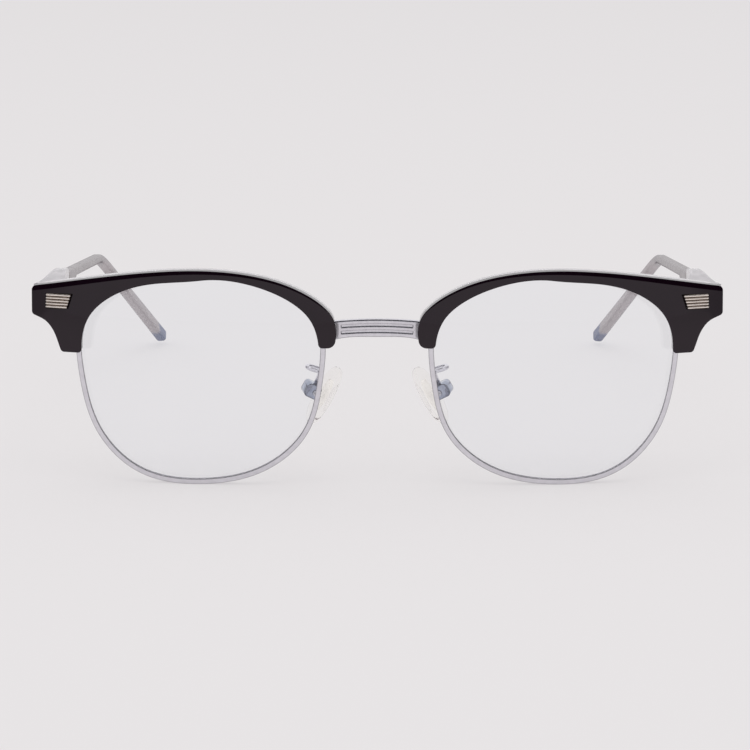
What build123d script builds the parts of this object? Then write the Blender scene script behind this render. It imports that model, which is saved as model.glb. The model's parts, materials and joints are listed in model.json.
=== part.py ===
from build123d import *
from math import cos, radians, sin, sqrt
import os

# Half rim eyeglasses: metal rims and bridge, laminated brows in front of them, hinged temples, nose pads.
# Millimetres. X runs to the wearer's left, Y from the front backwards, Z up from the table.
# Every side piece is drawn for the wearer's left and mirrored for the right.

# Lens and rim
lens_width = 48.4
lens_height = 42.0
lens_gap = 21.6
lens_curve = 130.0
face_wrap = 5.0
lens_front_y = 0.3
lens_thickness = 1.2
lens_bevel = 0.35
groove_depth = 0.4
rim_wall = 0.65
rim_depth = 1.9
seat_clearance = 0.03

# Closing block of the rim, behind the lug of the brow
lock_width = 2.9
lock_height = 3.6
lock_depth = 2.4
lock_rise = 3.1
lock_sink = 0.3
lock_split = 0.15
lock_screw_radius = 0.5
lock_head_radius = 0.8
lock_head_height = 0.5

# Brow: black front layer and clear backing
brow_thickness = 2.4
backing_thickness = 1.8
brow_cover = 0.7
brow_rise = 0.95
brow_bevel = 0.7
nose_width = 2.7
nose_drop = 15.1
nose_round = 1.6
nose_lens_round = 0.9
corner_reach = 9.7
corner_drop = 4.1
corner_height = 5.4
corner_round = 0.8
lug_width = 3.65
lug_drop = 16.8
lug_round = 0.8

# Endpiece block from the brow's corner back to the hinge
joint_y = 23.5
joint_gap = 0.3
block_lift = 0.2
block_sag = 0.7
block_foot = 8.0
block_inset = 5.8
block_width = 2.6
block_bulge = 0.35
block_root = 0.9
block_neck = 7.5
block_edge_round = 0.7

# Hinge
hinge_lift = 2.5
hinge_height = 4.0
hinge_radius = 1.15
hinge_stand = 1.25
middle_knuckle = 1.6
knuckle_gap = 0.1
leaf_thickness = 0.8
leaf_length = 5.6
hinge_pin_radius = 0.5
hinge_head_radius = 0.85
hinge_head_height = 0.35
pin_clearance = 0.04

# Temple
temple_width = 2.5
temple_height = 2.0
temple_front_height = 6.2
temple_rise = 0.35
temple_slope = 6.9
temple_splay = 0.4
temple_length = 85.1
ear_length = 52.9
ear_inward = 11.2
ear_height = 2.9
bend_radius = 26.0
tip_height = 1.4
tip_round = 0.6
temple_edge_round = 0.75
temple_nose_round = 2.6
flat_length = 6.6
flare_length = 12.0
flare_steps = 4
core_width = 0.8
core_height = 1.2
core_end_margin = 7.5

# Bridge
bridge_front_y = 1.5
bridge_sweep = 0.65
bridge_depth = 1.7
bridge_drop = 9.7
bridge_height = 3.57
bridge_arch = 0.85
bridge_flare = 1.0
bridge_flare_width = 4.2
bridge_edge_round = 0.5
bridge_line_radius = 0.4
bridge_line_depth = 0.2
bridge_line_length = 14.3
bridge_line_drops = (1.2, 2.45)

# Screw from the bridge end into the brow
brow_screw_inset = 1.2
brow_screw_drop = 2.0
brow_screw_radius = 0.4
brow_screw_depth = 1.5
brow_head_radius = 0.7
brow_head_height = 0.4

# Plaque on the brow's corner
plaque_inset = 5.2
plaque_drop = 2.65
plaque_tilt = 0.0
plaque_top_width = 5.6
plaque_bottom_width = 4.6
plaque_height = 2.7
plaque_plate = 0.5
plaque_sink = 0.35
plaque_margin = 0.12
plaque_ribs = 5
plaque_rib_rise = 0.24
plaque_post_radius = 0.45
plaque_post_length = 1.2
plaque_post_spacing = 2.6

# Nose pad, cup, screw and arm
pad_screw_inset = 1.95
pad_screw_back = 6.4
pad_screw_drop = 3.7
pad_lean = 29.0
pad_splay = 16.0
pad_length = 12.6
pad_width = 7.5
pad_thickness = 1.9
pad_round = 0.8
pad_stand = 1.45
pad_drop = 0.0
cup_nose_side = 1.0
cup_reach = 2.2
cup_wall = 0.5
cup_end_wall = 0.5
cup_half_height = 1.4
cup_round = 0.8
cup_cavity_gap = 0.1
block_half_width = 1.0
insert_block_radius = 0.9
insert_neck = 0.55
insert_plate = 0.5
insert_plate_length = 7.0
insert_plate_width = 3.6
pad_screw_radius = 0.38
pad_head_radius = 0.62
pad_head_height = 0.3
arm_radius = 0.45
arm_root_inset = 0.45
arm_root_rise = 1.2
arm_stand = 1.2
arm_loop_width = 2.7
arm_loop_depth = 2.4
arm_loop_rise = 0.8
arm_neck_offset = 1.4
arm_bend = 0.9

lens_x = (lens_width + lens_gap) / 2
lens_z = rim_wall + lens_height / 2
nasal_x = lens_x - lens_width / 2
temporal_x = lens_x + lens_width / 2
curve_x = lens_x - lens_curve * sin(radians(face_wrap))
curve_y = lens_front_y + lens_curve
groove_front = (rim_depth - lens_thickness) / 2
corner_x = temporal_x + corner_reach
brow_top_z = lens_z + lens_height / 2 + brow_rise
corner_top_z = brow_top_z - corner_drop
corner_bottom_z = corner_top_z - corner_height
nose_bottom_z = brow_top_z - nose_drop
lug_bottom_z = brow_top_z - lug_drop
lock_z = lug_bottom_z + lock_rise
block_inner_x = corner_x - block_inset
block_bottom_z = corner_bottom_z - block_sag
hinge_z = block_bottom_z + hinge_lift
temple_top_z = corner_top_z + temple_rise
bridge_top_z = brow_top_z - bridge_drop
brow_screw_z = bridge_top_z - brow_screw_drop
plaque_x = corner_x - plaque_inset
plaque_z = corner_top_z - plaque_drop
arm_root_x = nasal_x + arm_root_inset
arm_root_z = lens_z + arm_root_rise
reach = 40.0
outline_steps = 30

# The lens edge as shares of its half width and half height, from its top round by the nose.
lens_shape = [(0.0, 0.993), (-0.53, 0.915), (-0.955, 0.55), (-0.975, 0.0), (-0.855, -0.495), (-0.5, -0.865),
              (0.0, -0.9975), (0.52, -0.9), (0.865, -0.495), (0.986, 0.0), (0.966, 0.555), (0.53, 0.92)]
# The brow's outer edge: from the nose end up to over the lens centre, shares of that width and rise.
nose_shape = [(0.0, 0.46), (0.017, 0.57), (0.082, 0.675), (0.19, 0.773), (0.364, 0.877), (0.628, 0.963),
              (0.944, 1.0)]
# From there to the corner, shares of the width and of the drop that is left.
brow_shape = [(0.264, 0.9), (0.617, 0.525), (1.0, 0.0)]
# The hollow curve under the corner, from the lug up to the corner.
hollow_shape = [(0.0, 0.0), (0.1, 0.214), (0.25, 0.534), (0.37, 0.69), (0.57, 0.846), (0.75, 0.918), (1.0, 1.0)]
# The top of the endpiece block from the brow's corner to the joint: share of its length, rise over the corner.
block_arch = [(0.0, 0.1), (0.22, 0.75), (0.5, 1.35), (0.75, 1.5), (0.9, 1.1), (1.0, 0.4)]
# The block's outer side seen from above: share of its length, share of what the corner stands out over the joint.
block_side = [(-0.15, 1.45), (0.0, 1.0), (0.2, 0.55), (0.45, 0.27), (0.7, 0.09), (1.0, 0.0)]
# Along the brow's top edge from nose to corner: how much of the bevel has grown there.
bevel_shape = [(0.1, 0.05), (0.25, 0.45), (0.5, 0.7), (0.75, 0.9), (1.0, 1.0)]

def front_y(x, z, depth=0.0):
    """Y of the surface that lies depth behind the lens curve."""
    radius = lens_curve - depth
    return curve_y - sqrt(radius ** 2 - (x - curve_x) ** 2 - (z - lens_z) ** 2)


def ball(depth):
    """Everything behind the surface that lies depth behind the lens curve."""
    return Pos(curve_x, curve_y, lens_z) * Sphere(lens_curve - depth)


def prism(outline):
    """An outline in X and Z, run from front to back."""
    return extrude(Plane.XZ * outline, amount=reach, both=True)


def curved_plate(outline, front, back):
    """The outline as a plate that follows the lens curve, from one depth to another."""
    return (prism(outline) & ball(front)) - ball(back)


def rectangle(x_low, x_high, z_low, z_high):
    return Pos((x_low + x_high) / 2, (z_low + z_high) / 2) * Rectangle(x_high - x_low, z_high - z_low)


def lens_outline(growth):
    """The lens edge, moved outwards by growth."""
    points = [(lens_x + across * lens_width / 2, lens_z + up * lens_height / 2) for across, up in lens_shape]
    edge = Spline(*points, periodic=True)
    if growth:
        spots = []
        for step in range(outline_steps):
            ahead = edge % (step / outline_steps)
            spots.append(edge @ (step / outline_steps) + Vector(ahead.Y, -ahead.X) * growth)
        edge = Spline(*spots, periodic=True)
    return make_face(edge)


def between(low, high, share):
    return low + share * (high - low)


def brow_top_line():
    """The brow's outer edge, from the bottom of its nose end over the lens to the corner."""
    nose_x = nasal_x - nose_width
    start = (between(nose_x, lens_x, 0.013), nose_bottom_z)
    rise = [(between(nose_x, lens_x, across), between(lens_z, brow_top_z, up)) for across, up in nose_shape]
    run = [(between(lens_x, corner_x, across), between(corner_top_z, brow_top_z, up))
           for across, up in brow_shape]
    return Spline(start, *rise, *run)


def brow_outline():
    """Front view of the brow, down to the edge that covers the rim."""
    top = brow_top_line()
    lug_x = temporal_x + lug_width
    hollow = [(between(lug_x, corner_x, across), between(lug_bottom_z, corner_bottom_z, up))
              for across, up in hollow_shape]
    side = Line(top @ 1, hollow[-1])
    under = Spline(*hollow)
    back = Polyline(hollow[0], (lens_x, lug_bottom_z), (lens_x, nose_bottom_z), top @ 0)
    outline = make_face(top + side + under + back) - lens_outline(-brow_cover)
    for low_z, near_round, far_round in ((nose_bottom_z, nose_round, nose_lens_round),
                                         (lug_bottom_z, lug_round, lug_round)):
        for end, radius in ((0, near_round), (-1, far_round)):
            ends = [corner for corner in outline.vertices() if abs(corner.Y - low_z) < seat_clearance]
            outline = fillet(ShapeList(ends).sort_by(Axis.X)[end], radius)
    corners = [corner for corner in outline.vertices() if abs(corner.X - corner_x) < seat_clearance]
    return fillet(corners, corner_round)


def screw(shaft_radius, shaft_length, head_radius, head_height, slot_width):
    """A slotted screw: the head stands on Z = 0 and the shaft runs down."""
    shaft = Cylinder(shaft_radius, shaft_length, align=(Align.CENTER, Align.CENTER, Align.MAX))
    head = Cylinder(head_radius, head_height, align=(Align.CENTER, Align.CENTER, Align.MIN))
    head = fillet(head.edges().sort_by(Axis.Z)[-1], head_height * 0.4)
    slot = Pos(0, 0, head_height) * Box(3 * head_radius, slot_width, head_height)
    return shaft + head - slot


def brow():
    """Black front layer, with its bevelled top, the plaque's seat and the brow screw's hole."""
    layer = curved_plate(brow_outline(), -brow_thickness, 0)
    return layer - bevel_wedge() - plaque_seat() - brow_screw_hole(brow_screw_radius)


def bevel_wedge():
    """A wedge along the brow's top edge that grows from nothing at the nose to the full bevel at the corner."""
    line = brow_top_line()
    ahead = Vector(0, -1, 0)
    sections = []
    for share, growth in bevel_shape:
        spot = line @ share
        along = line % share
        leg = brow_bevel * growth
        edge = (spot.X, front_y(spot.X, spot.Y, -brow_thickness), spot.Y)
        plane = Plane(edge, x_dir=ahead, z_dir=ahead.cross(Vector(-along.Y, 0, along.X)))
        wedge = Polyline((0.4 * leg, -1.4 * leg), (leg + 1, leg + 1), (-1.4 * leg, 0.4 * leg), close=True)
        sections.append(plane * make_face(wedge))
    return loft(sections)


def backing():
    """Clear layer behind the black one, outside the rim, with the endpiece block that carries the hinge."""
    outline = brow_outline() - lens_outline(rim_wall + seat_clearance)
    bridge_end = rectangle(nasal_x - reach, lens_x, 0, bridge_top_z + pin_clearance)
    lock_room = rectangle(lens_x, corner_x, 0, lock_z + lock_height / 2 + 0.2)
    plate = curved_plate(outline - bridge_end - lock_room, seat_clearance, backing_thickness)
    return plate + endpiece_block() - hinge_pocket(-1)


def endpiece_block():
    """Block behind the brow's corner, wide and low at the brow, arched and narrow at the joint."""
    start_y = front_y(corner_x, block_bottom_z)
    end_y = joint_y - joint_gap / 2
    root_x = block_inner_x - block_root
    outer_x = block_inner_x + block_width
    side = Spline(*[(between(outer_x, corner_x + block_bulge, out), between(start_y, end_y, along))
                    for along, out in block_side])
    back = Polyline(side @ 1, (block_inner_x, end_y), (block_inner_x, end_y - block_neck), (root_x, start_y),
                    (root_x, 0), ((side @ 0).X, 0), side @ 0)
    plan = extrude(make_face(side + back), amount=2 * lens_height, both=True)
    top = Spline(*[(between(start_y, end_y, along), corner_top_z + up) for along, up in block_arch])
    low_z = corner_bottom_z + block_lift
    under = Polyline(top @ 1, (end_y, block_bottom_z), (end_y - block_foot, block_bottom_z), (start_y, low_z),
                     (0, low_z), (0, corner_top_z), top @ 0)
    block = plan & extrude(Plane.YZ * make_face(top + under), amount=2 * reach, both=True)
    rails = [e for e in block.edges() if e.center().X > outer_x and e.center().Z > corner_top_z]
    return fillet(ShapeList(rails).sort_by(SortBy.LENGTH)[-1], block_edge_round) & ball(seat_clearance)


def rim():
    """Eyewire with the lens groove, split at its closing block."""
    ring = curved_plate(lens_outline(rim_wall) - lens_outline(-groove_depth), seat_clearance, rim_depth)
    lock_x = temporal_x + rim_wall + lock_width / 2 - lock_sink
    block = rectangle(lock_x - lock_width / 2, lock_x + lock_width / 2, lock_z - lock_height / 2,
                      lock_z + lock_height / 2) - lens_outline(rim_wall / 2)
    ring += curved_plate(block, seat_clearance, lock_depth)
    groove = curved_plate(lens_outline(seat_clearance), groove_front - seat_clearance,
                          groove_front + lens_thickness + seat_clearance)
    ring -= groove
    split = Pos(lock_x, 0, lock_z) * Box(2 * lock_width, 2 * reach, lock_split)
    return ring - split - lock_screw_axis() * Pos(0, 0, lock_height / 2) * Cylinder(
        lock_screw_radius + pin_clearance, 2 * lock_height)


def lock_screw_axis():
    x = temporal_x + rim_wall + lock_width / 2
    return Pos(x, front_y(x, lock_z, lock_depth / 2), lock_z - lock_height / 2)


def lens():
    """Lens with its bevelled edge in the groove."""
    disc = curved_plate(lens_outline(0), groove_front, groove_front + lens_thickness)
    rims = [e for e in disc.edges() if e.length > 1]
    return chamfer(rims, lens_bevel)


def bridge():
    """Bar between the rims, arched in front view and bowed in plan, with two engraved lines."""
    end_x = nasal_x + groove_depth
    end_top = bridge_top_z - bridge_arch
    bottom_z = bridge_top_z - bridge_height
    waist = (end_x - bridge_flare_width, bottom_z - bridge_arch * (1 - bridge_flare_width / end_x) ** 2)
    end_bottom = bottom_z - bridge_arch - bridge_flare
    top = ThreePointArc((-end_x, end_top), (0, bridge_top_z), (end_x, end_top))
    low = Spline((end_x, end_bottom), waist, (0, bottom_z), (-waist[0], waist[1]), (-end_x, end_bottom))
    ends = Line(top @ 1, low @ 0) + Line(low @ 1, top @ 0)
    bar = prism(make_face(top + low + ends)) & bridge_band(0, bridge_depth)
    top_edges = [e for e in bar.edges() if e.length > end_x and e.center().Z > bottom_z + bridge_height / 2]
    bar = fillet(top_edges, bridge_edge_round)
    for drop in bridge_line_drops:
        bar -= bridge_line(drop)
    for side in (1, -1):
        disc = prism(lens_outline(rim_wall))
        bar -= disc if side > 0 else mirror(disc, about=Plane.YZ)
        hole = brow_screw_hole(brow_screw_radius + pin_clearance)
        bar -= hole if side > 0 else mirror(hole, about=Plane.YZ)
    return bar


def bridge_front(x):
    """Y of the bridge's bowed front."""
    return bridge_front_y + bridge_sweep * (x / nasal_x) ** 2


def bridge_line(drop):
    """Round-bottomed groove that far below the bridge's top."""
    half = bridge_line_length / 2
    arch = bridge_arch * (half / (nasal_x + groove_depth)) ** 2
    stand = bridge_line_radius - bridge_line_depth
    middle = (0, bridge_front(0) - stand, bridge_top_z - drop)
    right = (half, bridge_front(half) - stand, bridge_top_z - drop - arch)
    path = ThreePointArc((-right[0], right[1], right[2]), middle, right)
    return sweep(Plane(path @ 0, z_dir=path % 0) * Circle(bridge_line_radius), path=path)


def bridge_band(front, back):
    """The space between two depths behind the bridge's bowed front, for all Z."""
    end_x = nasal_x + bridge_flare_width
    near = ThreePointArc((-end_x, bridge_front(end_x) + front), (0, bridge_front(0) + front),
                         (end_x, bridge_front(end_x) + front))
    far = ThreePointArc((end_x, bridge_front(end_x) + back), (0, bridge_front(0) + back),
                        (-end_x, bridge_front(end_x) + back))
    sides = Line(near @ 1, far @ 0) + Line(far @ 1, near @ 0)
    return extrude(make_face(near + far + sides), amount=2 * lens_height)


def brow_screw_place():
    """Where the brow screw's head seats on the back of the bridge, pointing backwards."""
    x = nasal_x - brow_screw_inset
    y = bridge_front(x) + bridge_depth
    return Pos(x, y + 2 * seat_clearance, brow_screw_z) * Rot(-90, 0, 0)


def brow_screw_hole(radius):
    length = bridge_depth + brow_screw_depth + 0.5
    return brow_screw_place() * Pos(0, 0, 0.1) * Cylinder(
        radius, length + 0.1, align=(Align.CENTER, Align.CENTER, Align.MAX))


def brow_screw():
    length = bridge_depth + brow_screw_depth
    return brow_screw_place() * screw(brow_screw_radius - seat_clearance, length, brow_head_radius,
                                      brow_head_height, 0.25)


def plaque_plane():
    """Frame on the brow's front face: X along the ribs, Z out of the brow."""
    y = front_y(plaque_x, plaque_z, -brow_thickness)
    out = Vector(plaque_x - curve_x, y - curve_y, plaque_z - lens_z).normalized()
    along = Vector(cos(radians(plaque_tilt)), 0, sin(radians(plaque_tilt)))
    return Plane((plaque_x, y, plaque_z), x_dir=along - out * along.dot(out), z_dir=out)


def plaque_outline(growth):
    high = plaque_height / 2 + growth
    top = plaque_top_width - plaque_bottom_width / 2 + growth
    outer = plaque_bottom_width / 2 + growth
    return make_face(Polyline((outer, -high), (outer, high), (-top, high), (-outer, -high), close=True))


def plaque_posts(radius, length):
    posts = Part()
    for side in (-1, 1):
        posts += Pos(side * plaque_post_spacing / 2, 0, 0) * Cylinder(
            radius, length, align=(Align.CENTER, Align.CENTER, Align.MAX))
    return posts


def plaque_seat():
    """Recess and post holes in the brow."""
    seat = extrude(plaque_outline(plaque_margin), amount=-plaque_sink) + extrude(
        plaque_outline(plaque_margin), amount=1)
    holes = plaque_posts(plaque_post_radius + seat_clearance, plaque_sink + plaque_post_length + 0.1)
    return plaque_plane() * (seat + holes)


def plaque():
    """Tapered metal plate with half round ribs and two posts."""
    plate = Pos(0, 0, seat_clearance - plaque_sink) * extrude(plaque_outline(0), amount=plaque_plate)
    crest = seat_clearance - plaque_sink + plaque_plate
    pitch = plaque_height / plaque_ribs
    ribs = Part()
    for row in range(plaque_ribs):
        up = (row - (plaque_ribs - 1) / 2) * pitch
        ribs += Pos(0, up, crest) * Rot(0, 90, 0) * Cylinder(pitch * 0.42, 3 * plaque_top_width)
    ribs &= extrude(plaque_outline(-0.05), amount=crest + plaque_rib_rise)
    posts = Pos(0, 0, seat_clearance - plaque_sink) * plaque_posts(plaque_post_radius, plaque_post_length)
    return plaque_plane() * (plate + ribs + posts)


def hinge_axis():
    """The hinge pin's axis, at the middle of the hinge's height."""
    return Pos(block_inner_x - hinge_stand, joint_y, hinge_z)


def leaf(side, height, clearance=0.0):
    """Leaf let into the inner face: side -1 before the joint, side +1 behind it as far as the temple's core."""
    width = (leaf_thickness if side < 0 else temple_width / 2 - core_width / 4) + clearance
    start = joint_gap / 2 - clearance
    length = leaf_length + 2 * clearance
    return hinge_axis() * Pos(hinge_stand + width / 2, side * (start + length / 2), 0) * Box(
        width, length, height + 2 * clearance)


def hinge_pocket(side):
    """Room for a leaf in the endpiece block or the temple, open at the joint and on the inner face."""
    height = hinge_height if side < 0 else middle_knuckle
    mouth = hinge_axis() * Pos(hinge_stand + leaf_thickness / 2, side * joint_gap / 2, 0) * Box(
        leaf_thickness + 2 * seat_clearance, joint_gap, height + 2 * seat_clearance)
    face = hinge_axis() * Pos(hinge_stand, side * (joint_gap + leaf_length) / 2, 0) * Box(
        leaf_thickness, joint_gap + leaf_length, height + 2 * seat_clearance)
    return leaf(side, height, seat_clearance) + mouth + face


def knuckle(side, low, high):
    """One knuckle round the pin, with the web that joins it to its leaf."""
    height = high - low
    tube = Pos(0, 0, (low + high) / 2) * Cylinder(hinge_radius, height)
    web_length = hinge_radius
    web = Pos((hinge_stand + leaf_thickness / 2) / 2, side * web_length / 2, (low + high) / 2) * Box(
        hinge_stand + leaf_thickness / 2, web_length, height)
    return hinge_axis() * (tube + web)


def hinge_front():
    """Front leaf with the top and bottom knuckles."""
    half = hinge_height / 2
    inner = middle_knuckle / 2 + knuckle_gap
    top = knuckle(-1, inner, half)
    low = knuckle(-1, -half, -inner)
    bore = hinge_axis() * Cylinder(hinge_pin_radius + pin_clearance, 2 * hinge_height)
    return leaf(-1, hinge_height) + top + low - bore


def hinge_screw():
    """Pin screw with its head on the top knuckle."""
    return hinge_axis() * Pos(0, 0, hinge_height / 2 + seat_clearance) * screw(
        hinge_pin_radius, hinge_height, hinge_head_radius, hinge_head_height, 0.3)


def temple_points():
    """Where the temple's top line starts at the joint, where it bends, and its tip on the table."""
    x = block_inner_x + temple_width / 2
    slope = radians(temple_slope)
    start = Vector(x, joint_y, temple_top_z - temple_height / 2)
    bend = start + Vector(sin(radians(temple_splay)), cos(slope), -sin(slope)).normalized() * temple_length
    tip_z = tip_height
    fall = bend.Z - tip_z
    run = sqrt(ear_length ** 2 - ear_inward ** 2 - fall ** 2)
    return start, bend, bend + Vector(-ear_inward, run, -fall)


def smooth_step(share):
    share = min(max(share, 0), 1)
    return share * share * (3 - 2 * share)


def temple():
    """Clear temple: tall at the hinge, slim to the bend, deeper over the ear, hollow for its core."""
    start, bend, tip = temple_points()
    lead = start - (bend - start).normalized() * joint_gap
    path = FilletPolyline(lead, bend, tip, radius=bend_radius)
    stem_line, bend_arc, ear_line = path.edges().sort_by(Axis.Y)
    flat_share = flat_length / stem_line.length
    slim_share = (flat_length + flare_length) / stem_line.length
    flares = []
    for step in range(flare_steps + 1):
        share = step / flare_steps
        flare = (temple_front_height - temple_height) * smooth_step(1 - share)
        along = between(flat_share, slim_share, share)
        flares.append(temple_section(stem_line, along, temple_height + flare, flare / 2))
    flare = temple_front_height - temple_height
    bar = loft([temple_section(stem_line, 0, temple_front_height, flare / 2), flares[0]], ruled=True)
    bar += loft(flares)
    bar += loft([temple_section(stem_line, share, temple_height) for share in (slim_share, 1)], ruled=True)
    bar += sweep(temple_section(bend_arc, 0, temple_height), path=bend_arc)
    bar += loft([temple_section(ear_line, 0, temple_height), temple_section(ear_line, 1, ear_height)], ruled=True)
    tip_face = bar.faces().sort_by(Axis.Y)[-1]
    bar = fillet(tip_face.edges(), tip_round)
    joint_back = joint_y + joint_gap / 2
    bar -= Pos(start.X, joint_back - reach / 2, start.Z) * Box(reach, reach, reach)
    nose = Pos(start.X, joint_back + temple_nose_round, temple_top_z - temple_nose_round)
    corner = nose * Pos(0, -temple_nose_round, temple_nose_round) * Box(
        2 * temple_width, 2 * temple_nose_round, 2 * temple_nose_round)
    bar -= corner - nose * Rot(0, 90, 0) * Cylinder(temple_nose_round, 2 * temple_width)
    return bar - core_wire(seat_clearance) - hinge_pocket(1)


def temple_section(curve, share, height, drop=0.0):
    """The temple's rounded section at one share of a curve, with its middle that far below the curve."""
    plane = Plane(curve @ share, x_dir=(1, 0, 0), z_dir=-(curve % share))
    return plane * Pos(0, -drop) * RectangleRounded(temple_width, height, temple_edge_round)


def core_wire(clearance=0.0):
    """Flat wire in the middle of the temple, level with the hinge and then along the temple."""
    start, bend, tip = temple_points()
    level_run = (start.Z - hinge_z) * (bend.Y - start.Y) / (start.Z - bend.Z)
    meet = start + (bend - start) * (level_run / (bend.Y - start.Y))
    entry = Vector(start.X, joint_y + joint_gap / 2 + leaf_length / 2, hinge_z)
    end = tip - (tip - bend).normalized() * (core_end_margin - clearance)
    path = FilletPolyline(entry, meet, bend, end, radius=bend_radius)
    profile = RectangleRounded(core_width + 2 * clearance, core_height + 2 * clearance, core_width * 0.3)
    return sweep(Plane(path @ 0, x_dir=(1, 0, 0), z_dir=path % 0) * profile, path=path)


def temple_core():
    """Core wire with the rear hinge leaf and the middle knuckle."""
    half = middle_knuckle / 2
    bore = hinge_axis() * Cylinder(hinge_pin_radius + pin_clearance, 2 * hinge_height)
    return core_wire() + leaf(1, middle_knuckle) + knuckle(1, -half, half) - bore


def pad_frame():
    """Frame on the pad screw: X away from the nose, Y up along the pad, Z forwards along the screw."""
    lean = radians(pad_lean)
    screw_y = front_y(arm_root_x, arm_root_z, rim_depth) + pad_screw_back
    place = Plane((nasal_x + pad_screw_inset, screw_y, lens_z - pad_screw_drop), x_dir=(cos(lean), 0, sin(lean)),
                  z_dir=(0, -1, 0))
    return place.location * Rot(0, -pad_splay, 0)


def cup_body(growth=0.0):
    """The cup's outer block, square at its closed end and rounded where it faces the pad."""
    wide = cup_nose_side + cup_reach + 2 * growth
    outline = Pos((cup_reach - cup_nose_side) / 2, 0) * Rectangle(wide, 2 * (cup_half_height + growth))
    outline = fillet(outline.vertices(), cup_round)
    half_width = block_half_width + cup_cavity_gap + cup_wall + growth
    return extrude(outline, amount=half_width, both=True)


def pad_cup():
    """Cup that is open to the pad, drilled across for the pad screw."""
    cavity_half = cup_half_height - 0.8 * cup_wall
    cavity_end = cup_reach - cup_end_wall
    cavity = Pos((cavity_end - reach) / 2, 0, 0) * Box(cavity_end + reach, 2 * cavity_half,
                                                      2 * (block_half_width + cup_cavity_gap))
    hole = Cylinder(pad_screw_radius + seat_clearance, 4 * cup_reach)
    return pad_frame() * (cup_body() - cavity - hole)


def pad_screw():
    half_width = block_half_width + cup_cavity_gap + cup_wall
    return pad_frame() * Pos(0, 0, half_width + seat_clearance) * screw(
        pad_screw_radius, 2 * half_width, pad_head_radius, pad_head_height, 0.2)


def insert_solid(growth=0.0):
    """Bored block in the cup, a neck, and the plate that is moulded into the pad."""
    plate_x = -pad_stand - pad_thickness / 2
    block = Cylinder(insert_block_radius + growth, 2 * (block_half_width + growth))
    neck = Pos(plate_x / 2, 0, 0) * Box(-plate_x, 2 * (insert_neck + growth), 2 * (insert_neck + growth) * 1.4)
    outline = Ellipse(insert_plate_width / 2 + growth, insert_plate_length / 2 + growth)
    plate = Pos(plate_x, 0, 0) * Rot(0, 90, 0) * extrude(outline, amount=insert_plate / 2 + growth, both=True)
    return block + neck + plate - Cylinder(pad_screw_radius + pin_clearance, 4 * cup_reach)


def pad_insert():
    return pad_frame() * insert_solid()


def nose_pad():
    """Soft oval pad, moulded over the insert's plate."""
    oval = extrude(Ellipse(pad_width / 2, pad_length / 2), amount=pad_thickness / 2, both=True)
    oval = fillet(oval.edges().filter_by(GeomType.ELLIPSE), pad_round)
    cushion = Pos(-pad_stand - pad_thickness / 2, -pad_drop, 0) * Rot(0, 90, 0) * oval
    return pad_frame() * (cushion - insert_solid(seat_clearance))


def pad_arm():
    """Wire from the back of the rim, out and back round a loop, then down to the cup."""
    root_y = front_y(arm_root_x, arm_root_z, rim_depth)
    near_y = root_y + arm_stand
    far_y = near_y + arm_loop_depth
    far_x = arm_root_x + arm_loop_width
    far_z = arm_root_z + arm_loop_rise
    cup_top = pad_frame() * Pos(0.6 * cup_reach - cup_nose_side, cup_half_height - arm_radius, 0)
    neck = cup_top.position - Vector(arm_neck_offset, 0, 0)
    path = FilletPolyline((arm_root_x, root_y - arm_radius, arm_root_z), (arm_root_x, near_y, arm_root_z),
                          (far_x, near_y, far_z), (far_x, far_y, far_z), (neck.X, far_y, arm_root_z),
                          tuple(cup_top.position), radius=arm_bend)
    wire = sweep(Plane(path @ 0, z_dir=path % 0) * Circle(arm_radius), path=path)
    ring = curved_plate(lens_outline(rim_wall), -1, rim_depth + seat_clearance)
    return wire - ring - pad_frame() * cup_body(seat_clearance)


def lock_screw():
    """Screw that closes the rim, from below."""
    return lock_screw_axis() * Rot(180, 0, 0) * Pos(0, 0, seat_clearance) * screw(
        lock_screw_radius, lock_height - 0.4, lock_head_radius, lock_head_height, 0.25)


def save(name, piece):
    piece.label = name
    export_step(piece, "parts/" + name + ".step")
    print(name, "volume", round(piece.volume, 2))


os.makedirs("parts", exist_ok=True)
save("bridge", bridge())
side_pieces = {
    "brow": brow,
    "brow_backing": backing,
    "brow_screw": brow_screw,
    "plaque": plaque,
    "rim": rim,
    "rim_lock_screw": lock_screw,
    "lens": lens,
    "hinge_front": hinge_front,
    "hinge_screw": hinge_screw,
    "temple": temple,
    "temple_core": temple_core,
    "pad_arm": pad_arm,
    "pad_cup": pad_cup,
    "pad_screw": pad_screw,
    "pad_insert": pad_insert,
    "nose_pad": nose_pad,
}
for name, make in side_pieces.items():
    piece = make()
    save(name + "_left", piece)
    save(name + "_right", mirror(piece, about=Plane.YZ))
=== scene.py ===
import json
import math

import bmesh
import bpy
import numpy as np
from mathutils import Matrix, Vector


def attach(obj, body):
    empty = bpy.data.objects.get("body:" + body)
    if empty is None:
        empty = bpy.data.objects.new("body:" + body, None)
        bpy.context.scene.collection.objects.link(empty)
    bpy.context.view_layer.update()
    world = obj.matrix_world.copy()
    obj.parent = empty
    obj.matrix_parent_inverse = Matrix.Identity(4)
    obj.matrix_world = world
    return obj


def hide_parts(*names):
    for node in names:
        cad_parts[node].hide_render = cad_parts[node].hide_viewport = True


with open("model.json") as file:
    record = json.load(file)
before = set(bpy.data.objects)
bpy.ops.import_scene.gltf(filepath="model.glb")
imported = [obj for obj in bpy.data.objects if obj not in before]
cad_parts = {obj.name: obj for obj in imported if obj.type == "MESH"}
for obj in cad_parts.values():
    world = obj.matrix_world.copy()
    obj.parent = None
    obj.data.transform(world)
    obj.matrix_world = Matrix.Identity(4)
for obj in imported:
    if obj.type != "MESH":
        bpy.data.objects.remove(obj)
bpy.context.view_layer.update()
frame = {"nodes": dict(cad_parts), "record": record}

scene = bpy.context.scene
nodes = frame["nodes"]
slots = {part["node"]: part["material_slot"] for part in frame["record"]["subparts"]}
mm = 0.001
sides = {"left": 1, "right": -1}

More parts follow.
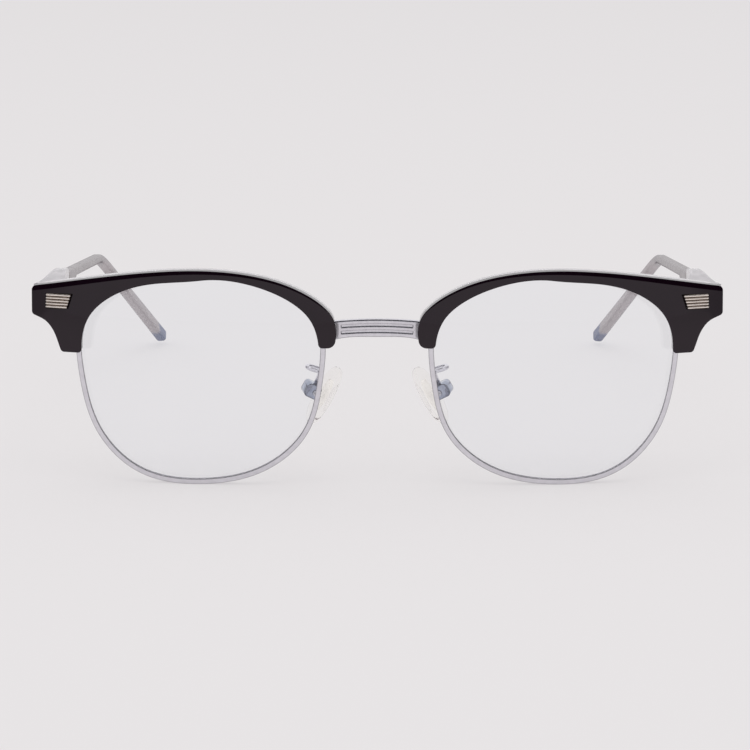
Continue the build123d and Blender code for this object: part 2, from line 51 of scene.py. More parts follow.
print("loaded", len(nodes), "nodes")

# Nearly all of a noise texture's values lie between these two.
noiseLow, noiseHigh = 0.3, 0.7


# Small helpers for the shader trees.
def newMaterial(name):
    material = bpy.data.materials.new(name)
    material.use_nodes = True
    tree = material.node_tree
    tree.nodes.clear()
    return material, tree


# A word in values sets the node's property of that name, or else its input socket.
def node(tree, kind, **values):
    made = tree.nodes.new(kind)
    for name, value in values.items():
        if hasattr(made, name):
            setattr(made, name, value)
        else:
            made.inputs[name.replace("_", " ")].default_value = value
    return made


def join(tree, start, end):
    tree.links.new(start, end)


def rampNode(tree, source, stops):
    ramp = node(tree, "ShaderNodeValToRGB")
    while len(ramp.color_ramp.elements) < len(stops):
        ramp.color_ramp.elements.new(0.5)
    for element, (position, colour) in zip(ramp.color_ramp.elements, stops):
        element.position = position
        element.color = (*colour, 1)
    join(tree, source, ramp.inputs["Fac"])
    return ramp.outputs["Color"]


# Object coordinates, stretched, through a noise texture.
def noiseField(tree, scale, detail=3.0, stretch=(1, 1, 1)):
    place = node(tree, "ShaderNodeTexCoord")
    mapping = node(tree, "ShaderNodeMapping")
    mapping.inputs["Scale"].default_value = stretch
    noise = node(tree, "ShaderNodeTexNoise", Scale=scale, Detail=detail)
    join(tree, place.outputs["Object"], mapping.inputs["Vector"])
    join(tree, mapping.outputs["Vector"], noise.inputs["Vector"])
    return noise.outputs["Fac"]


# One tone where a noise field is low and another where it is high.
def clouded(tree, field, dark, light):
    return rampNode(tree, field, [(noiseLow, dark), (noiseHigh, light)])


# The range fromLow to fromHigh mapped to low to high, and held level outside it.
def spread(tree, source, low, high, fromLow=noiseLow, fromHigh=noiseHigh):
    scaled = node(tree, "ShaderNodeMapRange")
    scaled.inputs["From Min"].default_value = fromLow
    scaled.inputs["From Max"].default_value = fromHigh
    scaled.inputs["To Min"].default_value = low
    scaled.inputs["To Max"].default_value = high
    join(tree, source, scaled.inputs["Value"])
    return scaled.outputs["Result"]


# Sockets 6 and 7 of a colour mix are its two colours.
def mixTones(tree, factor, first, second):
    mixed = node(tree, "ShaderNodeMix", data_type="RGBA")
    join(tree, factor, mixed.inputs["Factor"])
    join(tree, first, mixed.inputs[6])
    join(tree, second, mixed.inputs[7])
    return mixed.outputs[2]


def mixShaders(tree, factor, first, second):
    mix = node(tree, "ShaderNodeMixShader")
    join(tree, factor, mix.inputs[0])
    join(tree, first.outputs[0], mix.inputs[1])
    join(tree, second.outputs[0], mix.inputs[2])
    return mix


def larger(tree, first, second):
    most = node(tree, "ShaderNodeMath", operation="MAXIMUM")
    join(tree, first, most.inputs[0])
    join(tree, second, most.inputs[1])
    return most.outputs[0]


# Object coordinates taken apart.
def objectPlace(tree):
    place = node(tree, "ShaderNodeTexCoord")
    parts = node(tree, "ShaderNodeSeparateXYZ")
    join(tree, place.outputs["Object"], parts.inputs[0])
    return parts


# A fine relief. Where edge is more than nothing, hard edges also read as rounded by that radius.
def bump(tree, shader, height, strength, depth, edge=0.0):
    made = node(tree, "ShaderNodeBump", Strength=strength, Distance=depth)
    join(tree, height, made.inputs["Height"])
    if edge:
        soft = node(tree, "ShaderNodeBevel", samples=6)
        soft.inputs["Radius"].default_value = edge
        join(tree, soft.outputs["Normal"], made.inputs["Normal"])
    join(tree, made.outputs["Normal"], shader.inputs["Normal"])


# The last step of every finish. Clear plastic lets the lamp's light through, so that its shadow is faint.
def finishMaterial(tree, shader, lampsPass=False):
    out = node(tree, "ShaderNodeOutputMaterial")
    if lampsPass:
        rays = node(tree, "ShaderNodeLightPath")
        clear = node(tree, "ShaderNodeBsdfTransparent")
        shader = mixShaders(tree, rays.outputs["Is Shadow Ray"], shader, clear)
    join(tree, shader.outputs[0], out.inputs["Surface"])


# Painted shade: a dark line in the base colour beside hard edges stands in for the dark surroundings that a
# rounded edge reflects.
paintedEdgeLine = {                    # start and end are dot products of the rounded and the flat normal
    "samples": 8,
    "start": 0.985,             # where the dark line starts
    "end": 0.86,                # where it is darkest
}


# A factor that falls from 1 on the flat to darkest beside a hard edge. It paints shade into the tone there,
# in place of what a rounded edge reflects.
def paintedEdgeShade(tree, radius, darkest):
    soft = node(tree, "ShaderNodeBevel", samples=paintedEdgeLine["samples"])
    soft.inputs["Radius"].default_value = radius
    place = node(tree, "ShaderNodeNewGeometry")
    match = node(tree, "ShaderNodeVectorMath", operation="DOT_PRODUCT")
    join(tree, soft.outputs["Normal"], match.inputs[0])
    join(tree, place.outputs["True Normal"], match.inputs[1])
    return spread(tree, match.outputs["Value"], 1.0, darkest, paintedEdgeLine["start"], paintedEdgeLine["end"])


# By slot. The scale is the grain's, and edge is the radius in metres that a hard edge's painted dark line
# of shade takes.
metals = {
    "silver_metal": {"name": "silverMetal", "dark": (0.68, 0.665, 0.71), "light": (0.76, 0.745, 0.79),
                     "roughness": 0.16, "scale": 900, "edge": 0.00035, "darkest": 0.38},
    "cup_metal": {"name": "cupMetal", "dark": (0.26, 0.29, 0.38), "light": (0.44, 0.47, 0.56),
                  "roughness": 0.10, "scale": 900, "edge": 0.0004, "darkest": 0.10},
    "plaque_metal": {"name": "plaqueMetal", "dark": (0.90, 0.81, 0.74), "light": (0.99, 0.92, 0.86),
                     "roughness": 0.24, "scale": 1400, "stretch": (1, 12, 12)},
    "hinge_metal": {"name": "hingeMetal", "dark": (0.38, 0.32, 0.27), "light": (0.50, 0.44, 0.38),
                    "roughness": 0.25, "scale": 1200, "edge": 0.0003, "darkest": 0.5},
    "core_metal": {"name": "coreMetal", "dark": (0.84, 0.81, 0.82), "light": (0.92, 0.89, 0.90),
                   "roughness": 0.45, "scale": 700, "stretch": (6, 1, 6)},
    "screw_steel": {"name": "screwSteel", "dark": (0.50, 0.50, 0.54), "light": (0.62, 0.62, 0.66),
                    "roughness": 0.22, "scale": 1500, "edge": 0.0001, "darkest": 0.3},
}
# The plate behind the ribs: a near-black painted shade for the gaps between them.
plaqueGapShade = {"name": "paintedPlaqueShade", "dark": (0.10, 0.08, 0.065), "light": (0.16, 0.13, 0.11),
             "roughness": 0.5, "scale": 1400}
metalGrain = {"detail": 4.0, "smoothest": 0.8, "roughest": 1.25, "strength": 0.05, "depth": 0.00002}


# Polished or satin metal: tone and gloss vary with a fine grain, and hard edges carry a painted dark line,
# painted shade in place of what a rounded edge reflects.
def metalFinish(name, dark, light, roughness, scale, stretch=(1, 1, 1), edge=0.0, darkest=1.0):
    material, tree = newMaterial(name)
    shader = node(tree, "ShaderNodeBsdfPrincipled", Metallic=1.0)
    field = noiseField(tree, scale, metalGrain["detail"], stretch)
    tone = clouded(tree, field, dark, light)
    # Beside hard edges the tone is scaled down by painted shade.
    if edge:
        shaded = node(tree, "ShaderNodeVectorMath", operation="SCALE")
        join(tree, tone, shaded.inputs[0])
        join(tree, paintedEdgeShade(tree, edge, darkest), shaded.inputs["Scale"])
        tone = shaded.outputs[0]
    join(tree, tone, shader.inputs["Base Color"])
    gloss = spread(tree, field, roughness * metalGrain["smoothest"], roughness * metalGrain["roughest"])
    join(tree, gloss, shader.inputs["Roughness"])
    bump(tree, shader, field, metalGrain["strength"], metalGrain["depth"], edge)
    finishMaterial(tree, shader)
    return material


# Polished black plastic: a wine-dark tone in soft clouds, with a gloss and relief that vary finely.
def blackAcetate():
    look = {"dark": (0.0034, 0.0006, 0.0022), "light": (0.0050, 0.0014, 0.0038), "ior": 1.46,
            "gleam": (1.0, 0.90, 0.97, 1), "cloudScale": 260, "fineScale": 2600, "roughness": (0.03, 0.06),
            "relief": 0.02, "reliefDepth": 0.00001, "edge": 0.00012}
    material, tree = newMaterial("blackAcetate")
    shader = node(tree, "ShaderNodeBsdfPrincipled", IOR=look["ior"])
    shader.inputs["Specular Tint"].default_value = look["gleam"]
    cloud = noiseField(tree, look["cloudScale"], detail=3)
    fine = noiseField(tree, look["fineScale"], detail=2)
    join(tree, clouded(tree, cloud, look["dark"], look["light"]), shader.inputs["Base Color"])
    join(tree, spread(tree, fine, *look["roughness"]), shader.inputs["Roughness"])
    bump(tree, shader, fine, look["relief"], look["reliefDepth"], look["edge"])
    finishMaterial(tree, shader)
    return material


# Painted shade: a tone that deepens where the surface turns away from the eye, standing in for how the
# edges of thick clear plastic darken by refraction and reflection.
def paintedEdgeTone(tree, face, edge, turnFrom, turnTo):
    weight = node(tree, "ShaderNodeLayerWeight", Blend=0.5)
    turned = spread(tree, weight.outputs["Facing"], 0.0, 1.0, turnFrom, turnTo)
    return mixTones(tree, turned, face, edge)


# By slot. passes is the share of light let through, and edge the share of the tone left at the edges by a
# painted shade.
clears = {
    "clear_acetate": {"name": "clearAcetate", "dark": (0.70, 0.675, 0.70), "light": (0.76, 0.735, 0.76),
                      "roughness": 0.12, "ior": 1.38, "passes": 0.42},
    "silicone": {"name": "silicone", "dark": (0.984, 0.977, 0.960), "light": (0.994, 0.988, 0.975),
                 "roughness": 0.06, "ior": 1.06, "scale": 300, "edge": 0.5, "edgeFrom": 0.72},
    "lens": {"name": "lensCoating", "dark": (0.965, 0.975, 0.99), "light": (0.97, 0.98, 0.995),
             "roughness": 0.004, "ior": 1.5, "scale": 60},
}
clearGrain = {"detail": 2, "smoothest": 0.7, "roughest": 1.3, "edgeTo": 0.98}


# See-through plastic with a faint cloud in its tone and gloss. Where edge is under 1, its edges deepen by a
# painted shade.
def clearFinish(name, dark, light, roughness, ior, passes=1.0, scale=400, edge=1.0, edgeFrom=0.5):
    material, tree = newMaterial(name)
    shader = node(tree, "ShaderNodeBsdfPrincipled", IOR=ior)
    shader.inputs["Transmission Weight"].default_value = passes
    cloud = noiseField(tree, scale, clearGrain["detail"])
    tone = clouded(tree, cloud, dark, light)
    # The deeper tone at the edges is painted shade.
    if edge < 1:
        paintedDeepTones = [tuple(part * edge for part in colour) for colour in (dark, light)]
        tone = paintedEdgeTone(tree, tone, clouded(tree, cloud, *paintedDeepTones), edgeFrom, clearGrain["edgeTo"])
    join(tree, tone, shader.inputs["Base Color"])
    gloss = spread(tree, cloud, roughness * clearGrain["smoothest"], roughness * clearGrain["roughest"])
    join(tree, gloss, shader.inputs["Roughness"])
    finishMaterial(tree, shader, lampsPass=True)
    return material


# Temple plastic: the metal leaf shows brown through its front end, then it is pinkish grey with edges that
# turn blue over the ear, and past the end of the core wire the tip is blue throughout. The darker edges are
# painted shade where the surface turns away; over the ear their blue is also the plastic's own.
def templeAcetate():
    look = {"leaf": (0.24, 0.19, 0.16), "front": (0.41, 0.37, 0.385), "tip": (0.125, 0.150, 0.26),
            "leafEdge": (0.10, 0.08, 0.07), "frontEdgeShade": (0.09, 0.07, 0.08),
            "earEdgeBlueShade": (0.055, 0.068, 0.13),
            "leafFrom": 0.0236, "leafTo": 0.0262, "earFrom": 0.100, "earTo": 0.125,
            "tipFrom": 0.1450, "tipTo": 0.1468, "turnFrom": 0.76, "turnTo": 0.97,
            "passes": 0.12, "ior": 1.12, "roughness": (0.16, 0.22), "cloudScale": 300}
    material, tree = newMaterial("templeAcetate")
    shader = node(tree, "ShaderNodeBsdfPrincipled", IOR=look["ior"])
    shader.inputs["Transmission Weight"].default_value = look["passes"]
    cloud = noiseField(tree, look["cloudScale"], detail=2)
    along = objectPlace(tree).outputs["Y"]
    atLeaf = spread(tree, along, 1.0, 0.0, look["leafFrom"], look["leafTo"])
    overEar = spread(tree, along, 0.0, 1.0, look["earFrom"], look["earTo"])
    atTip = spread(tree, along, 0.0, 1.0, look["tipFrom"], look["tipTo"])
    face = rampNode(tree, atTip, [(0.0, look["front"]), (1.0, look["tip"])])
    # The edge tone is painted shade where the surface turns away; over the ear it is also the plastic's own
    # blue.
    edge = rampNode(tree, overEar, [(0.0, look["frontEdgeShade"]), (1.0, look["earEdgeBlueShade"])])
    plain = paintedEdgeTone(tree, face, edge, look["turnFrom"], look["turnTo"])
    leaf = clouded(tree, cloud, look["leafEdge"], look["leaf"])
    join(tree, mixTones(tree, atLeaf, plain, leaf), shader.inputs["Base Color"])
    join(tree, spread(tree, cloud, *look["roughness"]), shader.inputs["Roughness"])
    finishMaterial(tree, shader, lampsPass=True)
    return material


# Pad insert: faintly cream where it lies in the pad, slate blue where its block sits in the cup.
def insertPlastic():
    look = {"plate": (0.985, 0.98, 0.968), "block": (0.20, 0.24, 0.36), "blockFrom": 0.0118,
            "blockTo": 0.0124, "passes": 0.9, "ior": 1.03, "roughness": (0.06, 0.10), "cloudScale": 400}
    material, tree = newMaterial("insertPlastic")
    shader = node(tree, "ShaderNodeBsdfPrincipled", IOR=look["ior"])
    shader.inputs["Transmission Weight"].default_value = look["passes"]
    sideways = node(tree, "ShaderNodeMath", operation="ABSOLUTE")
    join(tree, objectPlace(tree).outputs["X"], sideways.inputs[0])
    cloud = noiseField(tree, look["cloudScale"], detail=2)
    outward = spread(tree, sideways.outputs[0], 0.0, 1.0, look["blockFrom"], look["blockTo"])
    tone = rampNode(tree, outward, [(0.0, look["plate"]), (1.0, look["block"])])
    join(tree, tone, shader.inputs["Base Color"])
    join(tree, spread(tree, cloud, *look["roughness"]), shader.inputs["Roughness"])
    finishMaterial(tree, shader, lampsPass=True)
    return material


finishes = {slot: metalFinish(**values) for slot, values in metals.items()}
finishes.update({slot: clearFinish(**values) for slot, values in clears.items()})
finishes["black_acetate"] = blackAcetate()
finishes["insert_plastic"] = insertPlastic()
templeFinish = templeAcetate()
paintedPlaqueShade = metalFinish(**plaqueGapShade)


# Every CAD node takes the finish of its slot.
def dressNodes():
    for name, part in nodes.items():
        part.data.materials.clear()
        part.data.materials.append(finishes[slots[name]])


# One row of points for each ring, joined by walls. The first and last ring close on their middle points.
def gridMesh(name, rows):
    count, around = rows.shape[:2]
    ends = np.stack([rows[0].mean(0), rows[-1].mean(0)])
    points = np.concatenate([rows.reshape(-1, 3), ends])
    ring, step = np.meshgrid(np.arange(count - 1), np.arange(around), indexing="ij")
    here = ring * around + step
    beside = ring * around + (step + 1) % around
    walls = np.stack([here, beside, beside + around, here + around], -1).reshape(-1, 4)
    spokes = np.arange(around)
    after = (spokes + 1) % around
    last = (count - 1) * around
    front = np.stack([np.full(around, len(points) - 2), after, spokes], -1)
    back = np.stack([np.full(around, len(points) - 1), last + spokes, last + after], -1)
    faces = walls.tolist() + front.tolist() + back.tolist()
    mesh = bpy.data.meshes.new(name)
    mesh.from_pydata(points.tolist(), [], faces)
    mesh.polygons.foreach_set("use_smooth", np.ones(len(faces), bool))
    mesh.update()
    piece = bpy.data.objects.new(name, mesh)
    scene.collection.objects.link(piece)
    return piece


def unit(vector):
    return vector / np.linalg.norm(vector, axis=-1, keepdims=True)


templeSizes = {                 # millimetres, but for the two angles and the counts
    "start": (64.365, 23.5, 38.85),
    "slope": 6.9,               # degrees
    "splay": 0.4,               # degrees
    "length": 85.1,
    "earLength": 52.9,
    "earInward": 11.2,
    "tipHeight": 1.4,
    "bendRadius": 26.0,
    "width": 2.47,
    "height": 2.0,
    "frontHeight": 6.2,
    "earHeight": 2.9,
    "flat": 6.6,                # length of the deep front end
    "flare": 12.0,              # length over which it eases to the stem
    "cornerRadius": 0.75,
    "cornerShare": 0.999,       # keeps a full corner a hair short of its half side
    "noseRadius": 2.6,
    "jointGap": 0.15,
    "edgeSoft": 0.2,
    "tipRound": 1.5,
    "tipShare": 0.985,          # share of the tip's quarter turn that its rings cover
    "frontTo": 4.0,             # the rings stand closest before here
    "flareTo": 22.0,            # and close before here
    "noseRings": 6,
    "frontRings": 14,
    "flareRings": 24,
    "rings": 150,
    "tipRings": 12,
    "around": 64,
}


# Straight, arc, straight: the arc touches both runs, and its centre lies on the bend's inner side.
def templeLine(sizes, distance):
    slope, splay = math.radians(sizes["slope"]), math.radians(sizes["splay"])
    start = np.array(sizes["start"])
    run = unit(np.array([math.sin(splay), math.cos(slope), -math.sin(slope)]))
    bend = start + run * sizes["length"]
    fall = bend[2] - sizes["tipHeight"]
    level = math.sqrt(sizes["earLength"] ** 2 - sizes["earInward"] ** 2 - fall ** 2)
    ear = unit(np.array([-sizes["earInward"], level, -fall]))
    turn = math.acos(float(run @ ear))
    inward = unit(ear - run * math.cos(turn))
    cut = sizes["bendRadius"] * math.tan(turn / 2)
    arcStart = sizes["length"] - cut
    arcLength = sizes["bendRadius"] * turn
    angle = np.clip((distance - arcStart) / sizes["bendRadius"], 0, turn)[:, None]
    before = np.minimum(distance, arcStart)[:, None]
    after = np.maximum(distance - arcStart - arcLength, 0)[:, None]
    points = start + run * before + ear * after
    points = points + sizes["bendRadius"] * (run * np.sin(angle) + inward * (1 - np.cos(angle)))
    along = run * np.cos(angle) + inward * np.sin(angle)
    total = arcStart + arcLength + sizes["earLength"] - cut
    return points, along, total, arcStart + arcLength


# Where the rings stand along the line, and how far the first ones draw in to soften the front edge. The
# edge is a quarter circle, and the tip's rings stand at even turns of a quarter circle.
def templeSteps(sizes, total):
    soft, tip = sizes["edgeSoft"], sizes["tipRound"]
    quarter = np.linspace(0, math.pi / 2, sizes["noseRings"])
    nose = sizes["jointGap"] + soft * (1 - np.cos(quarter))
    front = np.linspace(nose[-1], sizes["frontTo"], sizes["frontRings"])[1:]
    flare = np.linspace(sizes["frontTo"], sizes["flareTo"], sizes["flareRings"])[1:]
    stem = np.linspace(sizes["flareTo"], total - tip, sizes["rings"])[1:]
    closing = np.linspace(0, math.pi / 2 * sizes["tipShare"], sizes["tipRings"])
    end = total - tip + tip * np.sin(closing)[1:]
    distance = np.concatenate([nose, front, flare, stem, end])
    inset = np.zeros_like(distance)
    inset[:len(nose)] = soft * (1 - np.sin(quarter))
    return distance, inset


# Half width, half height and middle of each section. The depth eases from the front end to the stem by a
# smooth step and grows evenly over the ear. The top front rounds off by an arc, and the tip closes by a
# quarter ellipse.
def templeSections(sizes, distance, inset, total, earFrom):
    share = np.clip(1 - (distance - sizes["flat"]) / sizes["flare"], 0, 1)
    flare = (sizes["frontHeight"] - sizes["height"]) * share * share * (3 - 2 * share)
    overEar = np.clip((distance - earFrom) / (total - earFrom), 0, 1)
    half = (sizes["height"] + (sizes["earHeight"] - sizes["height"]) * overEar) / 2
    nose = sizes["noseRadius"]
    into = np.clip(distance - sizes["jointGap"], 0, nose)
    top = half - nose + np.sqrt(nose ** 2 - (nose - into) ** 2) - inset
    bottom = -half - flare + inset
    closing = np.clip((distance - total + sizes["tipRound"]) / sizes["tipRound"], 0, 1)
    close = np.sqrt(np.clip(1 - closing ** 2, 0, 1))
    return (sizes["width"] / 2 - inset) * close, (top - bottom) / 2 * close, (top + bottom) / 2


# A rounded rectangle carried along the temple's line, upright by the hinge and square to the line after it.
def buildTemple(side):
    sizes = templeSizes
    total, earFrom = templeLine(sizes, np.zeros(1))[2:]
    distance, inset = templeSteps(sizes, total)
    centre, along = templeLine(sizes, distance)[:2]
    across = unit(np.array([1.0, 0, 0]) - along * along[:, :1])
    square = np.cross(across, along)
    turned = np.clip((distance - sizes["flat"]) / sizes["flare"], 0, 1)[:, None]
    up = unit(np.array([0, 0, 1.0]) * (1 - turned) + square * turned)
    wide, tall, middle = templeSections(sizes, distance, inset, total, earFrom)
    corner = np.minimum(np.minimum(sizes["cornerRadius"], tall), wide) * sizes["cornerShare"]
    turn = (np.arange(sizes["around"]) + 0.5) / sizes["around"] * 2 * math.pi
    spanX = np.sign(np.cos(turn)) * (wide - corner)[:, None] + np.cos(turn) * corner[:, None]
    spanZ = np.sign(np.sin(turn)) * (tall - corner)[:, None] + np.sin(turn) * corner[:, None]
    rows = (centre[:, None] + across[:, None] * spanX[..., None]
            + up[:, None] * (spanZ + middle[:, None])[..., None])
    if sides[side] < 0:
        rows = (rows * np.array([-1, 1, 1]))[:, ::-1]
    piece = gridMesh("templeShell_" + side, rows * mm)
    piece.data.materials.append(templeFinish)
    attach(piece, "temple_" + side)
    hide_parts("temple_" + side)


plaqueSizes = {                 # millimetres, but for the shares, the angle and the counts
    "topWidth": 5.45,
    "bottomWidth": 4.55,
    "ribs": 5,
    "rise": 0.28,
    "ribShare": 0.74,           # share of the pitch that a rib fills, the rest is the gap
    "endRound": 0.26,
    "plate": 0.4,
    "plateSink": 0.02,          # how far the plate's face stands into the ribs
    "plateInset": 0.1,
    "facing": 0.9,              # a face is the front's when its normal points this far forward
    "poleGap": 0.02,            # radians left at each rib end, which closes on a point
    "around": 24,
    "rings": 40,
}


# The solid's points in millimetres, with its own across (away from the nose), up and out.
def plaqueDirections(side):
    solid = nodes["plaque_" + side].data
    points = np.zeros(len(solid.vertices) * 3)
    solid.vertices.foreach_get("co", points)
    normals = np.zeros(len(solid.polygons) * 3)
    solid.polygons.foreach_get("normal", normals)
    normals = normals.reshape(-1, 3)
    areas = np.zeros(len(solid.polygons))
    solid.polygons.foreach_get("area", areas)
    facing = normals[:, 1] < -plaqueSizes["facing"]
    out = unit((normals[facing] * areas[facing, None]).sum(0))
    across = unit(np.cross(out, [0, 0, 1.0]))
    across = across * np.sign(across[0]) * sides[side]
    up = np.cross(across, out)
    return points.reshape(-1, 3) / mm, (across, up * np.sign(up[2]), out)


# A rib whose section is an ellipse, half sunk in the plate. As bend runs over a half turn, the section
# grows with its sine, and the rings move in from each end by the end round times one less its cosine.
def plaqueRib(directions, outer, width, height, level, half):
    sizes = plaqueSizes
    across, up, out = directions
    turn = np.linspace(0, 2 * math.pi, sizes["around"], endpoint=False)
    bend = np.linspace(sizes["poleGap"], math.pi - sizes["poleGap"], sizes["rings"])
    cap = sizes["endRound"] * (1 - np.abs(np.cos(bend)))
    ring = np.sin(bend)[:, None]
    ends = np.where(bend < math.pi / 2, outer - width + cap, outer - cap)
    rows = (ends[:, None, None] * across
            + (height + ring * half * np.cos(turn))[..., None] * up
            + (level - sizes["rise"] + ring * sizes["rise"] * np.sin(turn))[..., None] * out)
    return gridMesh("rib", rows * mm)


# The thin plate behind the ribs, as wide as they are less a small inset.
def plaquePlate(directions, outer, low, high, level):
    sizes = plaqueSizes
    across, up, out = directions
    inset = sizes["plateInset"]
    corners = [(outer - inset, low), (outer - sizes["bottomWidth"] + inset, low),
               (outer - sizes["topWidth"] + inset, high), (outer - inset, high)]
    depths = (level - sizes["rise"] - sizes["plate"], level - sizes["rise"] + sizes["plateSink"])
    rows = np.array([[across * x + up * z + out * depth for x, z in corners] for depth in depths])
    plate = gridMesh("plate", rows * mm)
    plate.data.polygons.foreach_set("use_smooth", np.zeros(len(plate.data.polygons), bool))
    return plate


# One mesh out of several, with its faces turned outwards.
def joined(name, pieces):
    shell = bmesh.new()
    for part in pieces:
        shell.from_mesh(part.data)
        bpy.data.objects.remove(part)
    bmesh.ops.recalc_face_normals(shell, faces=shell.faces)
    mesh = bpy.data.meshes.new(name)
    shell.to_mesh(mesh)
    shell.free()
    piece = bpy.data.objects.new(name, mesh)
    scene.collection.objects.link(piece)
    return piece


# Ribs side by side on a thin plate, wider towards the top, laid on the solid's own front.
def buildPlaque(side):
    sizes = plaqueSizes
    points, directions = plaqueDirections(side)
    across, up, out = directions
    level = (points @ out).max()
    front = points[points @ out > level - sizes["rise"]]
    outer, low, high = (front @ across).max(), (front @ up).min(), (front @ up).max()
    pitch = (high - low) / sizes["ribs"]
    half = pitch / 2 * sizes["ribShare"]
    ribs = []
    for rib in range(sizes["ribs"]):
        share = (rib + 0.5) / sizes["ribs"]
        width = sizes["bottomWidth"] * (1 - share) + sizes["topWidth"] * share
        ribs.append(plaqueRib(directions, outer, width, low + (rib + 0.5) * pitch, level, half))
    plate = plaquePlate(directions, outer, low, high, level)
    plateFaces = len(plate.data.polygons)
    piece = joined("plaqueRibs_" + side, ribs + [plate])
    piece.data.materials.append(finishes["plaque_metal"])
    # The plate's near-black finish is painted shade in the gaps between the ribs.
    piece.data.materials.append(paintedPlaqueShade)
    finishOf = np.zeros(len(piece.data.polygons), np.int32)
    finishOf[-plateFaces:] = 1      # the plate's faces come last
    piece.data.polygons.foreach_set("material_index", finishOf)
    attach(piece, "front")
    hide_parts("plaque_" + side)


cupEdges = {
    "rounding": 0.3,            # millimetres
    "segments": 4,
    "merge": 0.002,             # millimetres
    "flatAngle": 2,             # degrees
    "sharpAngle": 40,           # degrees
}


# A merged copy of a pad cup whose sharp edges are rounded.
def buildSoftCup(side):
    name = "pad_cup_" + side
    flat = math.radians(cupEdges["flatAngle"])
    shell = bmesh.new()
    shell.from_mesh(nodes[name].data)
    bmesh.ops.remove_doubles(shell, verts=shell.verts, dist=cupEdges["merge"] * mm)
    bmesh.ops.dissolve_limit(shell, angle_limit=flat, verts=shell.verts, edges=shell.edges)
    mesh = bpy.data.meshes.new("soft_" + name)
    shell.to_mesh(mesh)
    shell.free()
    mesh.polygons.foreach_set("use_smooth", np.ones(len(mesh.polygons), bool))
    piece = bpy.data.objects.new("soft_" + name, mesh)
    scene.collection.objects.link(piece)
    rounding = piece.modifiers.new("rounding", "BEVEL")
    rounding.width = cupEdges["rounding"] * mm
    rounding.segments = cupEdges["segments"]
    rounding.limit_method = "ANGLE"
    rounding.angle_limit = math.radians(cupEdges["sharpAngle"])
    rounding.harden_normals = True
    piece.data.materials.append(finishes[slots[name]])
    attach(piece, "front")
    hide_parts(name)


stage = {
    "colour": (0.803, 0.780, 0.788),
    "floorSize": 12.0,
    "floorGlow": 0.62,          # share of the floor's own even tone, the rest takes light and shadow
    "cloudScale": 3,
    "cloudDark": 0.995,         # the darker clouds' share of the colour
}


# A flat floor whose tone is mostly even to the eye and still takes the object's shadow.
def buildFloor():
    half = stage["floorSize"] / 2
    corners = [(-half, -half, 0), (half, -half, 0), (half, half, 0), (-half, half, 0)]
    mesh = bpy.data.meshes.new("floor")
    mesh.from_pydata(corners, [], [(0, 1, 2, 3)])
    floor = bpy.data.objects.new("floor", mesh)
    scene.collection.objects.link(floor)
    material, tree = newMaterial("paleFloor")
    matt = node(tree, "ShaderNodeBsdfDiffuse")
    field = noiseField(tree, stage["cloudScale"], detail=2)
    darker = tuple(part * stage["cloudDark"] for part in stage["colour"])
    join(tree, clouded(tree, field, darker, stage["colour"]), matt.inputs["Color"])
    even = node(tree, "ShaderNodeEmission", Strength=1.0)
    even.inputs["Color"].default_value = (*stage["colour"], 1)
    rays = node(tree, "ShaderNodeLightPath")
    seen = larger(tree, rays.outputs["Is Camera Ray"], rays.outputs["Is Transmission Ray"])
    share = node(tree, "ShaderNodeMath", operation="MULTIPLY")
    join(tree, larger(tree, seen, rays.outputs["Is Glossy Ray"]), share.inputs[0])
    share.inputs[1].default_value = stage["floorGlow"]
    mix = mixShaders(tree, share.outputs[0], matt, even)
    out = node(tree, "ShaderNodeOutputMaterial")
    join(tree, mix.outputs[0], out.inputs["Surface"])
    mesh.materials.append(material)


# The From and To values are a direction's height, depth or width, as a share of its length.
room = {
    "strength": 0.80,
    "horizon": (0.80, 0.79, 0.80),
    "horizonTo": 0.42,
    "overhead": (0.012, 0.013, 0.022),
    "overheadFrom": 0.60,
    "behind": (0.92, 0.91, 0.92),
    "behindFrom": 0.02,
    "behindTo": 0.12,
    "sideDark": (0.10, 0.10, 0.12),
    "sideFrom": 0.62,
    "sideTo": 0.85,
}


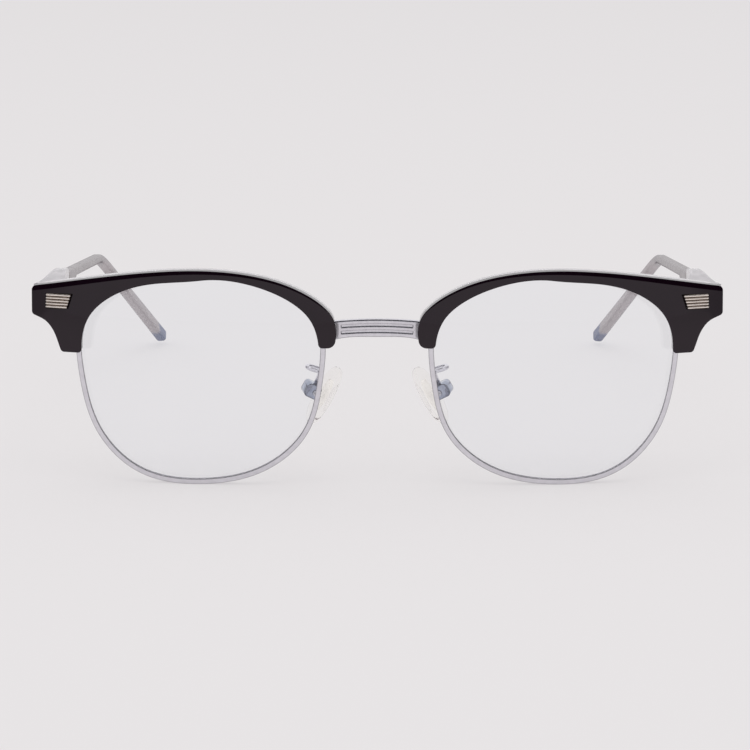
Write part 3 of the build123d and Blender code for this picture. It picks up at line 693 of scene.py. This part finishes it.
# Even light for the object, a plain tone behind it, and for reflections a pale horizon and backdrop
# that turn dark overhead in front and to both sides.
def buildWorld():
    world = bpy.data.worlds.new("studio")
    scene.world = world
    world.use_nodes = True
    tree = world.node_tree
    tree.nodes.clear()
    white = (1, 1, 1)
    place = node(tree, "ShaderNodeTexCoord")
    parts = node(tree, "ShaderNodeSeparateXYZ")
    join(tree, place.outputs["Generated"], parts.inputs[0])
    sideways = node(tree, "ShaderNodeMath", operation="ABSOLUTE")
    join(tree, parts.outputs["X"], sideways.inputs[0])
    front = rampNode(tree, parts.outputs["Z"],
                     [(0.0, room["horizon"]), (room["horizonTo"], room["horizon"]),
                      (room["overheadFrom"], room["overhead"]), (1.0, room["overhead"])])
    flank = rampNode(tree, sideways.outputs[0],
                     [(0.0, white), (room["sideFrom"], white),
                      (room["sideTo"], room["sideDark"]), (1.0, room["sideDark"])])
    backwards = spread(tree, parts.outputs["Y"], 0.0, 1.0, room["behindFrom"], room["behindTo"])
    height = node(tree, "ShaderNodeMix", data_type="RGBA")
    join(tree, backwards, height.inputs["Factor"])
    join(tree, front, height.inputs[6])
    height.inputs[7].default_value = (*room["behind"], 1)
    seen = node(tree, "ShaderNodeMix", data_type="RGBA", blend_type="MULTIPLY")
    seen.inputs["Factor"].default_value = 1.0
    join(tree, height.outputs[2], seen.inputs[6])
    join(tree, flank, seen.inputs[7])
    light = node(tree, "ShaderNodeBackground", Strength=room["strength"])
    light.inputs["Color"].default_value = (*white, 1)
    mirror = node(tree, "ShaderNodeBackground", Strength=1.0)
    join(tree, seen.outputs[2], mirror.inputs["Color"])
    plain = node(tree, "ShaderNodeBackground", Strength=1.0)
    plain.inputs["Color"].default_value = (*stage["colour"], 1)
    rays = node(tree, "ShaderNodeLightPath")
    glossy = mixShaders(tree, rays.outputs["Is Glossy Ray"], light, mirror)
    through = larger(tree, rays.outputs["Is Camera Ray"], rays.outputs["Is Transmission Ray"])
    mix = mixShaders(tree, through, glossy, plain)
    out = node(tree, "ShaderNodeOutputWorld")
    join(tree, mix.outputs[0], out.inputs["Surface"])


softbox = {"place": (0.0, -0.3, 1.6), "aim": (0.0, 0.05, 0.0), "size": 1.2, "power": 6.0}


# A wide soft lamp overhead that polished surfaces don't mirror.
def addLamp():
    data = bpy.data.lights.new("topSoft", "AREA")
    data.energy = softbox["power"]
    data.size = softbox["size"]
    lamp = bpy.data.objects.new("topSoft", data)
    lamp.location = softbox["place"]
    direction = Vector(softbox["aim"]) - Vector(softbox["place"])
    lamp.rotation_euler = direction.to_track_quat("-Z", "Y").to_euler()
    lamp.visible_glossy = False
    scene.collection.objects.link(lamp)


view = {
    "place": (0.0025, -0.600, 0.14543),
    "pitch": 78.46,             # degrees from straight down
    "yaw": 0.277,               # degrees
    "lens": 148.36,
    "sensor": 36,
    "near": 0.01,
    "far": 50,
}


# A long lens far in front, a little above the glasses.
def buildCamera():
    data = bpy.data.cameras.new("camera")
    data.lens = view["lens"]
    data.sensor_width = view["sensor"]
    data.clip_start = view["near"]
    data.clip_end = view["far"]
    camera = bpy.data.objects.new("camera", data)
    camera.location = view["place"]
    camera.rotation_euler = (math.radians(view["pitch"]), 0, math.radians(view["yaw"]))
    scene.collection.objects.link(camera)
    scene.camera = camera


scene.view_settings.view_transform = "Standard"
buildCamera()
buildFloor()
buildWorld()
addLamp()
print("stage ready")
dressNodes()
print("dressed", len(nodes), "nodes")
for side in sides:
    buildTemple(side)
    buildPlaque(side)
for side in sides:
    buildSoftCup(side)
print("temples, plaques and pad cups built")
